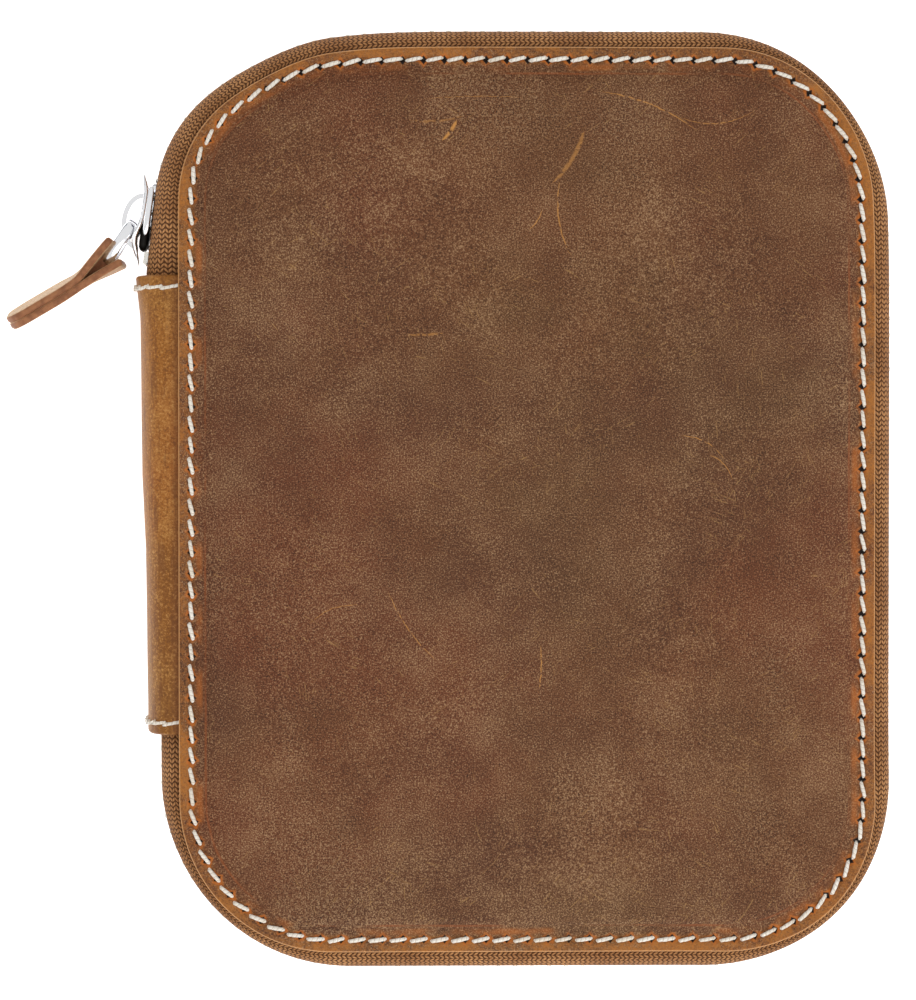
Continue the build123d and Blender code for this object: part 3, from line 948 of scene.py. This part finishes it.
toothFinish = metalMaterial("zipNickel", linear(228, 224, 216), 0.22, linear(176, 168, 156))
chrome = metalMaterial("sliderChrome", linear(250, 250, 252), 0.08, linear(224, 224, 228))
chainTotal = chainLine[1][-1]
teethFor = {"front": toothTemplate("toothDown", 1), "back": toothTemplate("toothUp", -1)}
for side, z, phase in (("front", midZ + zipSet["edge"], 0.5), ("back", midZ - zipSet["edge"], 0.0)):
    runs, run, placeOf = [], [], None
    k = phase
    while k * zipSet["pitch"] < chainTotal:
        p, along = pathPoint(chainLine, k * zipSet["pitch"])
        here = "top" if p.x < 0 < p.y < zipSet["endTop"] else "main"
        if here != placeOf and run:
            runs.append((placeOf, run))
            run = []
        run.append(settle(Vector((p.x, p.y, z))))
        placeOf = here
        k += 1
    runs.append((placeOf, run))
    for placeOf, run in runs:
        name = side + ("EndTeeth" if placeOf == "top" else "ZipTeeth")
        teeth = makeRow(name, run, False, teethFor[side], len(run), toothFinish, up=(0, 0, 0),
                        side=(0, 0, -1), jitter=math.radians(2), seed=5)
        if placeOf == "top":
            finishPiece(teeth, None, None, ["zip_end_teeth"])
            stretchAcross(teeth)
        else:
            finishPiece(teeth, side, None, [side + "_zip_teeth"])
print("teeth set")


# the spine strip: a C of leather round the closed edge, flared at its top end
spineSet = {"bulge": [(-38.5, 5.5), (-33, 5.5), (-8, 5.8), (4, 6.45), (18, 6.6), (30, 6.7), (36.9, 7.5)],
            "wall": 1.5 * mm, "lip": 1.6 * mm, "square": 2.7, "roundOff": 0.5 * mm,
            "half": 9.52 * mm}


def spineBulge(y):
    table = spineSet["bulge"]
    value = y / mm
    for (y0, b0), (y1, b1) in zip(table, table[1:]):
        if value <= y1:
            t = max(0.0, (value - y0) / (y1 - y0))
            return (b0 + (b1 - b0) * t) * mm
    return table[-1][1] * mm


def spineCurve(y, inward, count=36):
    # from the front cover's edge round to the back cover's, moved in by inward
    half = spineSet["half"] - inward
    bulge = spineBulge(y) - inward
    points = []
    for k in range(count + 1):
        angle = math.pi * k / count - math.pi / 2
        c, s = abs(math.cos(angle)), math.sin(angle)
        x = -halfW - bulge * c ** (2 / spineSet["square"])
        z = midZ - math.copysign(half * abs(s) ** (2 / spineSet["square"]), s)
        points.append(Vector((x, y, z)))
    return points


def spineSheet(name, inward, wall, low, high, uvName="rim"):
    ys = [low]
    edge = spineSet["roundOff"]
    ys += [low + edge * 0.15, low + edge * 0.5, low + edge]
    steps = 60
    ys += [low + edge + (high - low - 2 * edge) * k / steps for k in range(1, steps)]
    ys += [high - edge, high - edge * 0.5, high - edge * 0.15, high]
    rows = []
    for y in ys:
        off = min(1.0, min(y - low, high - y) / edge)
        thin = math.sqrt(max(0.0, 1 - (1 - off) ** 2))
        pull = wall / 2 * (1 - thin)
        wave = 0.12 * mm * noise.noise(Vector((y * 60, inward * 900, 2.2)))
        outer = spineCurve(y, inward + pull - wave)
        inner = spineCurve(y, inward + wall - pull - wave)
        corners = (outer[0], inner[0], inner[-1], outer[-1])
        tabs = [Vector((-halfW + spineSet["lip"], y, q.z)) for q in corners]
        rows.append([tabs[0]] + outer + [tabs[3], tabs[2]] + inner[::-1] + [tabs[1]])
    loop = rows[len(rows) // 2]
    across = [v / mm for v in lineLengths(loop + loop[:1])]
    made = gridObject(name, rows, [y / mm for y in ys], across, closeCols=True, uvName=uvName)
    return endQuads(made, len(loop), len(loop) // 2 - 1, True)


spineLooks = {"dark": linear(130, 78, 24), "mid": linear(160, 100, 33), "warm": linear(172, 94, 28),
              "warmth": 0.6, "pale": linear(200, 148, 84), "haze": 0.3, "fleck": 0.7, "speck": 2500.0,
              "deep": linear(104, 62, 28), "olive": 0.4, "green": linear(150, 106, 50)}


def spineMaterial():
    material, s, put = newMaterial("spineHide", Roughness=0.65, Specular_IOR_Level=0.22)
    p = objectSpace(s)
    x, y, z = s.split(p)
    colour, height, haze = leatherBase(s, s.place(p, scale=(1, 1, 0.7)), spineLooks)
    # painted highlight along the outer fold, painted shade beside the cover
    fold = s.step(x, -halfW - 3.8 * mm, -halfW - 5.8 * mm)
    colour = s.mix(s.times(fold, 0.3), colour, linear(176, 124, 66))
    shade = s.step(x, -halfW - 1.6 * mm, -halfW - 0.2 * mm)
    colour = s.mix(s.times(shade, 0.45), colour, linear(128, 74, 38))
    lines = s.noise(s.place(p, scale=(1100, 120, 600)), 1.0, 5.0, 0.65)
    colour = s.mix(s.times(s.step(lines, 0.52, 0.64), 0.55), colour, linear(112, 64, 26))
    colour = s.mix(s.times(s.step(lines, 0.42, 0.3), 0.25), colour, linear(204, 150, 86))
    surface(s, put, colour, s.plus(height, lines), 0.4, 0.0002, s.plus(0.5, s.times(haze, 0.4)))
    return material


spineFinish = spineMaterial()
spineHide = spineSheet("spineHide", 0.0, spineSet["wall"], spineBottom, spineTop)
finishPiece(spineHide, "spine", spineFinish, ["spine_leather"])


def flatten(piece):
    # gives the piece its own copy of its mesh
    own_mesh(piece)


flatten(spineHide)
for end, y in (("top", spineTop - 2.0 * mm), ("bottom", spineBottom + 2.0 * mm)):
    points = spineCurve(y, -0.05 * mm, 60)[2:-2]
    row = makeRow(end + "SpineThread", points, False, stitch, 11, threadFinish, up=(0, 0, 0), side=(0, 1, 0),
                  slant=math.radians(-8), jitter=math.radians(4), seed=23)
    finishPiece(row, "spine", None, ["spine_" + end + "_thread"])
    flatten(row)
print("spine made")


def cadFinish(node, material):
    # a carried-over node keeps its mesh and takes a finished material
    obj = frame["nodes"][node]
    obj.data.materials.clear()
    obj.data.materials.append(material)


# the pull: a leather strap folded round the link; flaps and bend are places beside the pivot
pullSet = {"width": 11 * mm, "layer": 1.4 * mm, "angle": 210.6, "length": 13.3 * mm, "twist": 9.0,
           "tipRound": 4.6 * mm, "bendRadius": 6 * mm,
           "bend": (-9.0, -9.5), "upper": (-3.3, -2.6), "lower": (-1.5, -6.3), "ringAngle": 236.0,
           "ringLength": 9.4 * mm, "ringHigh": 6.6 * mm, "ringWide": 1.9 * mm, "ringThick": 1.1 * mm,
           "fold": 2.1 * mm}
pivot = jointAt["pull_swing"]


def besidePivot(place):
    # a place in millimetres from the pull's pivot, seen from above
    return Vector((pivot.x, pivot.y, 0)) + Vector(place).to_3d() * mm


def strapLayer(name, side, flap):
    w = pullSet
    ahead = heading(w["angle"])
    lift = Vector((ahead.y, -ahead.x, 0)) * (side * (w["layer"] / 2 - 0.12 * mm))
    bend = besidePivot(w["bend"]) + lift
    start = besidePivot(flap)
    tip = bend + ahead * w["length"]
    line = filletPath([start, bend, tip], [w["bendRadius"]], 0.35 * mm)
    total = line[1][-1]
    rows, us = [], []
    for p, s in zip(*line):
        along = pathPoint(line, min(s, total - 1e-7))[1]
        off = min(1.0, s / (0.35 * mm))
        end = max(0.0, 1 - (total - s) / w["tipRound"])
        wide = w["width"] / 2 * math.sqrt(max(0.0, 1 - end ** 2.6))
        wide = max(wide, 0.5 * mm)
        thick = w["layer"] / 2 * (0.6 + 0.4 * off) * (1 - 0.5 * max(0.0, 1 - (total - s) / (0.5 * mm)))
        twist = -math.radians(w["twist"]) * ease(s, 0, total * 0.6)
        across = Vector((along.y, -along.x, 0))
        up = Vector((0, 0, 1)) * math.cos(twist) + across * math.sin(twist)
        flat = across * math.cos(twist) - Vector((0, 0, 1)) * math.sin(twist)
        centre = Vector((p.x, p.y, midZ))
        ring = []
        for j in range(28):
            a = 2 * math.pi * j / 28
            ring.append(centre + up * (lobe(a, 0.22)[0] * wide) + flat * (lobe(a, 0.3)[1] * thick))
        rows.append(ring)
        us.append(s / mm)
    made = gridObject(name, rows, us, [j / 28 for j in range(29)], closeCols=True, uvName="rim")
    return endCaps(made, 28)


def pullMaterial():
    # grain side tan and fibrous, cut edge brown and burnished
    material, s, put = newMaterial("pullHide", Roughness=0.58, Specular_IOR_Level=0.35)
    p = objectSpace(s)
    around = s.split(uvSpace(s, "rim"))[1]
    edge = s.off(s.math("COSINE", s.times(around, 2 * math.pi)))
    fibre = s.noise(s.place(p, scale=(2200, 2200, 1300)), 1.0, 5.0, 0.7)
    blotch = s.noise(p, 260.0, 4.0)
    face = s.mix(s.step(fibre, 0.32, 0.72), linear(176, 134, 92), linear(212, 182, 144))
    face = s.mix(s.times(s.step(blotch, 0.5, 0.7), 0.3), face, linear(150, 106, 70))
    side = s.mix(s.step(s.noise(p, 900.0, 4.0), 0.35, 0.65), linear(130, 80, 48), linear(158, 104, 66))
    surface(s, put, s.mix(s.step(edge, 0.8, 0.93), face, side), fibre, 0.4, 0.0002)
    return material


def loftSolid(name, rings):
    # closed rings of points joined in order and capped
    count = len(rings[0])
    cols = [k / count for k in range(count + 1)]
    made = gridObject(name, rings, list(range(len(rings))), cols, closeCols=True)
    return endCaps(made, count)


def strapFold():
    # narrow middle of the strap, which turns back inside the link
    w = pullSet
    root = besidePivot(w["bend"])
    upper, lower = (root.lerp(besidePivot(w[key]), 0.86) for key in ("upper", "lower"))
    outline = [root.lerp(upper, k / 6) for k in range(7)] + [upper.lerp(lower, k / 6) for k in range(1, 7)]
    outline += [root.lerp(lower, 1 - k / 6) for k in range(1, 6)]
    middle = (root + upper + lower) / 3
    rings = []
    for height, shrink in ((-1, 0.8), (-0.9, 1), (0.9, 1), (1, 0.8)):
        level = Vector((0, 0, midZ + height * w["fold"]))
        rings.append([middle + (q - middle) * shrink + level for q in outline])
    return loftSolid("strapFold", rings)


pullFinish = pullMaterial()
for name, side, flap in (("upper", 1, pullSet["upper"]), ("lower", -1, pullSet["lower"])):
    layer = strapLayer("pull" + name.capitalize() + "Layer", side, flap)
    if side < 0:
        layer = joinInto(layer, [strapFold()])
    finishPiece(layer, "pull", pullFinish, ["pull_strap_" + name])


sliderSet = {"half": 7.7 * mm, "wide": 4.4 * mm, "plate": 0.9 * mm, "gap": 2.7 * mm, "tilt": 8.0,
             "lips": (-2.6 * mm, 5.6 * mm), "post": (3.2 * mm, 6.4 * mm), "throat": (-5.2 * mm, -0.4 * mm),
             "postSize": (0, 0, 1.5 * mm, 1.1 * mm), "throatSize": (1.25 * mm, 0, 0.75 * mm, 2.6 * mm)}
sliderLow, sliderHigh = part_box("slider_body")
sliderMid = (sliderLow + sliderHigh) / 2
tilt = math.radians(sliderSet["tilt"])
sliderAlong = Vector((math.sin(tilt), math.cos(tilt), 0))
sliderOut = Vector((-math.cos(tilt), math.sin(tilt), 0))


def sliderBar(name, low, high, shape, steps=22):
    # shape(x) gives the middle across and up, and the half sizes, at x along the slider
    rings = []
    for k in range(steps + 1):
        t = 0.5 - 0.5 * math.cos(math.pi * k / steps)
        x = low + (high - low) * t
        end = math.sqrt(max(0.02, 1 - abs(2 * t - 1) ** 6))
        y, z, halfY, halfZ = shape(x)
        ring = []
        for j in range(20):
            dy, dz = lobe(2 * math.pi * j / 20, 0.3)
            across = sliderOut * (y + dy * halfY * end)
            up = Vector((0, 0, z + dz * halfZ * (0.35 + 0.65 * end)))
            ring.append(sliderMid + sliderAlong * x + across + up)
        rings.append(ring)
    return loftSolid(name, rings)


def sliderWidth(x):
    g = sliderSet
    return g["wide"] - 0.55 * mm * ease(x, 0, g["half"]) - 0.3 * mm * ease(-x, 3 * mm, g["half"])


def outerPlate(x):
    g = sliderSet
    y = g["gap"] / 2 + g["plate"] / 2 + 0.85 * mm * ease(x, 4.2 * mm, 7.9 * mm)
    y += 0.95 * mm * hump(x, -3.4 * mm, 2.4 * mm) - 0.3 * mm * ease(-x, 5 * mm, 7.9 * mm)
    return y, 0, g["plate"] / 2 * (1 - 0.45 * ease(abs(x), 4.5 * mm, 7.9 * mm)), sliderWidth(x)


def innerPlate(x):
    g = sliderSet
    y = -g["gap"] / 2 - g["plate"] / 2 - 0.3 * mm * ease(abs(x), 4.5 * mm, 7.7 * mm)
    return y, 0, g["plate"] / 2, sliderWidth(x)


parts = [sliderBar("outer", -sliderSet["half"], sliderSet["half"] + 0.4 * mm, outerPlate),
         sliderBar("inner", -sliderSet["half"], sliderSet["half"], innerPlate)]
for across in (-1, 1):
    for up in (-1, 1):
        def lip(x, across=across, up=up):
            y = across * (sliderSet["gap"] / 2 - 0.3 * mm)
            return y, up * (sliderWidth(x) - 0.45 * mm), 0.5 * mm, 0.45 * mm
        parts.append(sliderBar("lip", *sliderSet["lips"], lip, steps=12))
parts.append(sliderBar("post", *sliderSet["post"], lambda x: sliderSet["postSize"], steps=6))
parts[0].name = "sliderPlates"
finishPiece(joinInto(parts[0], parts[1:]), "slider", chrome, ["slider_body"])
# a dark piece of painted shade that stands for the shadowed opening between the plates
throat = sliderBar("sliderThroat", *sliderSet["throat"], lambda x: sliderSet["throatSize"], steps=8)
throatShadowFinish = metalMaterial("throatShadow", linear(40, 38, 36), 0.5, linear(22, 20, 20))
finishPiece(throat, "slider", throatShadowFinish, ["slider_body"])
cadFinish("slider_bridge", chrome)


def pullRing():
    # a flat-sided oval ring standing on edge, round the bridge's bar
    w = pullSet
    ahead = heading(w["ringAngle"])
    side = Vector((ahead.y, -ahead.x, 0))
    reach = w["ringLength"] / 2 - w["ringThick"] * 0.55 - 0.35 * mm
    middle = Vector((pivot.x, pivot.y, midZ)) + ahead * reach
    rings, steps = [], 48
    for k in range(steps):
        c, d = lobe(2 * math.pi * k / steps, 0.7)
        out = ahead * (c * (w["ringLength"] - w["ringThick"]) / 2)
        out += Vector((0, 0, d * (w["ringHigh"] - w["ringThick"]) / 2))
        radial = out.normalized()
        ring = []
        for j in range(16):
            e, f = lobe(2 * math.pi * j / 16, 0.6)
            ring.append(middle + out + radial * (e * w["ringThick"] / 2) + side * (f * w["ringWide"] / 2))
        rings.append(ring)
    rings.append(rings[0])
    made = gridObject("pullRing", rings, list(range(steps + 1)), [j / 16 for j in range(17)], closeCols=True)
    return mergeAndTurnOut(made)


finishPiece(pullRing(), "pull", chrome, ["pull_link"])
cadFinish("zip_end_stops", toothFinish)
print("slider and pull made")


# inside: cloth linings, a slip pocket on the back panel and an elastic band on the front one
liningSet = {"level": 3.0 * mm, "thick": 0.7 * mm, "pucker": 0.12 * mm}


def liningHeight(p, inset, seamCount, tag):
    if tag != "top":
        return 0.0
    inner = ease(inset, 1.6 * mm, 8 * mm)
    z = inner * liningSet["pucker"] * noise.noise(Vector((p.x * 55, p.y * 55, 4.4)))
    z -= 0.16 * mm * hump(inset, 2.5 * mm, 0.4 * mm)
    return z - 0.3 * mm * (1 - ease(inset, 1.5 * mm, 1.9 * mm))


liningInsets = [57, 50, 43, 36, 30, 25, 20, 16, 13, 10, 8, 6.5, 5.2, 4.2, 3.4, 2.9, 2.6, 2.3, 2.0, 1.8, 1.6,
                1.5]
liningStations = [(i * mm, liningSet["level"] + liningSet["thick"], "top") for i in liningInsets]
liningStations += [(i * mm, liningSet["level"] + rise * mm, "under")
                   for i, rise in ((1.5, 0.2), (1.6, 0), (20, 0), (57, 0))]


def clothMaterial(name, dark, light, threads, strength):
    # plain weave on object coordinates, with a slubby tone
    material, s, put = newMaterial(name, Roughness=0.9, Specular_IOR_Level=0.15)
    p = objectSpace(s)
    x, y, z = s.split(p)
    a = s.sine(x, threads)
    b = s.sine(y, threads)
    weave = s.times(a, b)
    slub = s.noise(p, 70.0, 6.0, 0.7)
    nap = s.noise(p, 2600.0, 4.0, 0.7)
    tone = s.plus(s.times(slub, 0.5), s.times(nap, 0.5))
    colour = s.mix(s.step(tone, 0.3, 0.7), dark, light)
    # painted shade in the low cells of the weave
    colour = s.mix(s.times(s.step(weave, 0.2, -0.6), 0.35), colour, dark)
    surface(s, put, colour, s.plus(weave, nap), strength, 0.0001)
    return material


liningFinish = clothMaterial("liningCloth", linear(92, 66, 46), linear(124, 94, 68), 1500.0, 0.4)
for side, flip in (("back", False), ("front", True)):
    sheet = plate(side + "Lining", liningStations, liningHeight, count=552, flip=flip)
    finishPiece(sheet, side, liningFinish, [side + "_lining"])
spineInside = spineSheet("spineLining", 1.52 * mm, 0.5 * mm, spineBottom + 0.2 * mm, spineTop - 0.2 * mm)
finishPiece(spineInside, "spine", liningFinish, ["spine_lining"])
flatten(spineInside)
boardFinish = clothMaterial("stiffenerBoard", linear(140, 122, 98), linear(168, 150, 124), 700.0, 0.2)
for side in ("back", "front"):
    cadFinish(side + "_spine_hem", spineFinish)
    cadFinish(side + "_stiffener", boardFinish)

pocketSet = {"half": 49 * mm, "top": 16 * mm, "bottom": -66 * mm, "under": 3.7 * mm, "thick": 1.2 * mm,
             "corner": 17 * mm}


def pocketSheet():
    # a flat panel with a rolled top edge, bellied slightly by what it carries
    g = pocketSet
    nx, ny = 98, 82
    rows = []
    for layer in (1, 0):
        for j in range(ny + 1):
            y = g["bottom"] + (g["top"] - g["bottom"]) * j / ny
            low = max(0.0, g["bottom"] + g["corner"] - y)
            cut = g["corner"] - math.sqrt(max(0.0, g["corner"] ** 2 - low ** 2))
            half = g["half"] - cut
            row = []
            for k in range(nx + 1):
                x = -half + 2 * half * k / nx
                rim = min(half - abs(x), g["top"] - y, y - g["bottom"])
                z = g["under"] + 0.02 * mm
                if layer:
                    z += g["thick"] * (0.55 + 0.45 * ease(rim, 0, 0.5 * mm))
                    belly = ease(half - abs(x), 3 * mm, 22 * mm) * ease(y - g["bottom"], 3 * mm, 30 * mm)
                    z += 0.9 * mm * belly * ease(y, g["bottom"], g["top"])
                    z += 0.15 * mm * noise.noise(Vector((x * 40, y * 40, 6.2)))
                    z -= 0.15 * mm * hump(half - abs(x), 1.9 * mm, 0.5 * mm)
                    z += 0.25 * mm * hump(g["top"] - y, 1.6 * mm, 1.4 * mm)
                row.append(Vector((x, y, z)))
            rows.append(row)
    top, under = rows[:ny + 1], rows[ny + 1:]
    loops = [a + b[::-1] for a, b in zip(top, under)]
    count = len(loops[0])
    made = gridObject("slipPocket", loops, range(ny + 1), range(count + 1), closeCols=True, uvName="rim")
    return endQuads(made, count, nx)


def plainHide(name, looks, strength):
    material, s, put = newMaterial(name, Roughness=0.62, Specular_IOR_Level=0.3)
    colour, height, haze = leatherBase(s, objectSpace(s), looks)
    surface(s, put, colour, height, strength, 0.0002, s.plus(0.52, s.times(haze, 0.4)))
    return material


pocketLooks = {"dark": linear(122, 78, 46), "mid": linear(144, 96, 58), "warm": linear(152, 94, 50),
               "warmth": 0.5, "pale": linear(176, 132, 88), "haze": 0.25, "fleck": 0.4, "speck": 2600.0,
               "deep": linear(98, 60, 36), "olive": 0.3, "green": linear(130, 94, 60)}
pocket = pocketSheet()
pocketFinish = plainHide("pocketHide", pocketLooks, 0.35)
finishPiece(pocket, "back", pocketFinish, ["back_slip_pocket"])
cadFinish("back_pocket_thread", threadFinish)
cadFinish("front_band_tacks", threadFinish)

bandSet = {"half": 49 * mm, "y": 22 * mm, "wide": 25 * mm, "thick": 1.0 * mm,
           "tacks": (-47, -16.33, 16.33, 47)}


def elasticBand():
    # sewn down at four tacks, lifted a little between them into loops
    b = bandSet
    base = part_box("front_lining")[0].z
    steps, loops = 196, []
    for k in range(steps + 1):
        x = -b["half"] + 2 * b["half"] * k / steps
        near = min(abs(x - t * mm) for t in b["tacks"])
        lift = 0.55 * mm * ease(near, 0.8 * mm, 7 * mm)
        pinch = 1 - 0.05 * hump(near, 0, 1.4 * mm)
        end = min(1.0, (b["half"] - abs(x)) / (0.3 * mm))
        half, t = b["wide"] / 2 * pinch, b["thick"] * (0.4 + 0.6 * end)
        level = base - 0.02 * mm
        ring, spread = [], [-1 + 2 * j / 24 for j in range(25)]
        for j, v in enumerate(spread):
            rib = 0.02 * mm * (-1) ** j
            ring.append(Vector((x, b["y"] + v * half, level - t - lift + rib + 0.2 * mm * v ** 8)))
        ring += [Vector((x, b["y"] + v * half, level - lift * 0.9)) for v in spread[::-1]]
        loops.append(ring)
    count = 50
    made = gridObject("elasticBand", loops, [k * 0.5 for k in range(steps + 1)], list(range(count + 1)),
                      closeCols=True, uvName="weave")
    return endQuads(made, count, 24)


band = elasticBand()
bandFinish = clothMaterial("elasticWeave", linear(34, 30, 28), linear(58, 52, 48), 900.0, 0.7)
finishPiece(band, "front", bandFinish, ["front_elastic_band"])
print("inside made")


# pale floor, soft light, and a camera nearly straight above
floorGlow = 0.85        # bright enough to hide the object's own shadow


def floorMaterial():
    material, s, put = newMaterial("paleFloor", Roughness=0.9)
    tone = s.noise(objectSpace(s), 3.0, 2.0)
    s.set(put["Base Color"], s.mix(tone, (0.93, 0.93, 0.93, 1), (0.95, 0.95, 0.95, 1)))
    put["Emission Color"].default_value = (1, 1, 1, 1)
    put["Emission Strength"].default_value = floorGlow
    return material


floor = newObject("floor", [(-3, -3, 0), (3, -3, 0), (3, 3, 0), (-3, 3, 0)], [(0, 1, 2, 3)])
floor.data.materials.append(floorMaterial())


def softLight(name, place, size, power):
    light = bpy.data.lights.new(name, "AREA")
    light.shape, light.size, light.energy = "DISK", size, power
    obj = bpy.data.objects.new(name, light)
    obj.location = place
    obj.rotation_euler = (-Vector(place)).to_track_quat("-Z", "Y").to_euler()
    bpy.context.scene.collection.objects.link(obj)


softLight("overhead", (0.1, -0.4, 1.1), 0.9, 2.6)
softLight("nearSide", (0.1, -1.0, 0.25), 0.4, 2.6)
softLight("leftSide", (-0.9, 0.1, 0.7), 0.6, 1.0)
softLight("rightSide", (0.9, -0.1, 0.7), 0.6, 1.2)
# pale sky with one dark band, which the plated metal mirrors
skyStrength = 0.78
world = bpy.data.worlds.new("studio")
world.use_nodes = True
sky = Sketch(world.node_tree)
x, y, z = sky.split(sky.node("ShaderNodeTexCoord").outputs["Generated"])
band = sky.times(sky.step(z, 0.3, 0.36), sky.step(z, 0.56, 0.5))
band = sky.times(band, sky.step(x, 0.15, -0.1))
backdrop = world.node_tree.nodes["Background"]
sky.set(backdrop.inputs[0], sky.mix(band, (1, 1, 1, 1), (0.03, 0.04, 0.08, 1)))
backdrop.inputs[1].default_value = skyStrength
bpy.context.scene.world = world
bpy.context.scene.view_settings.view_transform = "Standard"

cameraSet = {"place": (-0.026, 0.013, 0.624), "target": (-0.0114, 0.0001, 0.024), "lens": 132.5}
lens = bpy.data.cameras.new("camera")
lens.lens, lens.sensor_width, lens.sensor_fit = cameraSet["lens"], 36, "AUTO"
lens.clip_start, lens.clip_end = 0.01, 20
camera = bpy.data.objects.new("camera", lens)
place, target = Vector(cameraSet["place"]), Vector(cameraSet["target"])
back = (place - target).normalized()
right = Vector((0, 1, 0)).cross(back).normalized()
turn = Matrix((right, back.cross(right), back)).transposed().to_4x4()
camera.matrix_world = Matrix.Translation(place) @ turn
bpy.context.scene.collection.objects.link(camera)
bpy.context.scene.camera = camera

print("scene complete")
